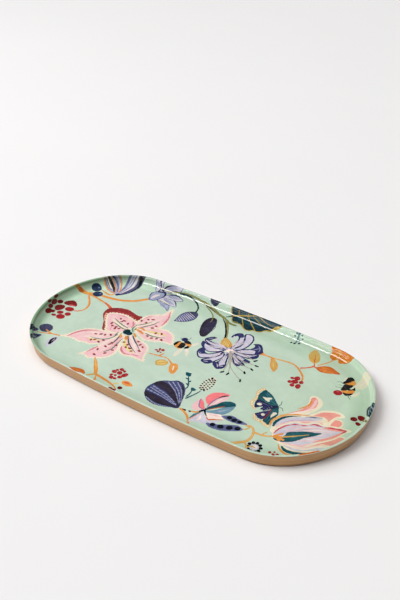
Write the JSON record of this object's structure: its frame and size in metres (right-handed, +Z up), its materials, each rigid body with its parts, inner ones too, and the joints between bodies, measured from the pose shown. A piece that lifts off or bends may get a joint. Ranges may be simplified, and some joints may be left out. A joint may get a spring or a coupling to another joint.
{
  "type": "decorated serving tray",
  "caption": "Long oval serving tray: bent wooden rim strip round a plywood base, with a glossy enamel lining painted with flowers, fruit and insects.",
  "frame": {"origin": "on the surface the tray stands on, under the middle of the tray", "axes": "+X along the tray's length, +Y across it towards the side with the strip's scarf joint, +Z up"},
  "size_m": [0.45, 0.222, 0.0175],
  "materials": {
    "hoop_wood": "satin clear lacquer over light bent wood, grain along the strip",
    "base_wood": "satin clear lacquer over birch-faced plywood",
    "filler": "sanded matt filler, covered by the enamel",
    "enamel": "glossy mint enamel with painted botanical decoration under clear lacquer",
    "pad_felt": "pressed wool felt"
  },
  "bodies": {
    "root": {"rim_hoop": "hoop_wood", "base_panel": "base_wood", "cove_fillet": "filler", "enamel_lining": "enamel", "felt_pad_1": "pad_felt", "felt_pad_2": "pad_felt", "felt_pad_3": "pad_felt", "felt_pad_4": "pad_felt", "felt_pad_5": "pad_felt", "felt_pad_6": "pad_felt"}
  },
  "joints": []
}
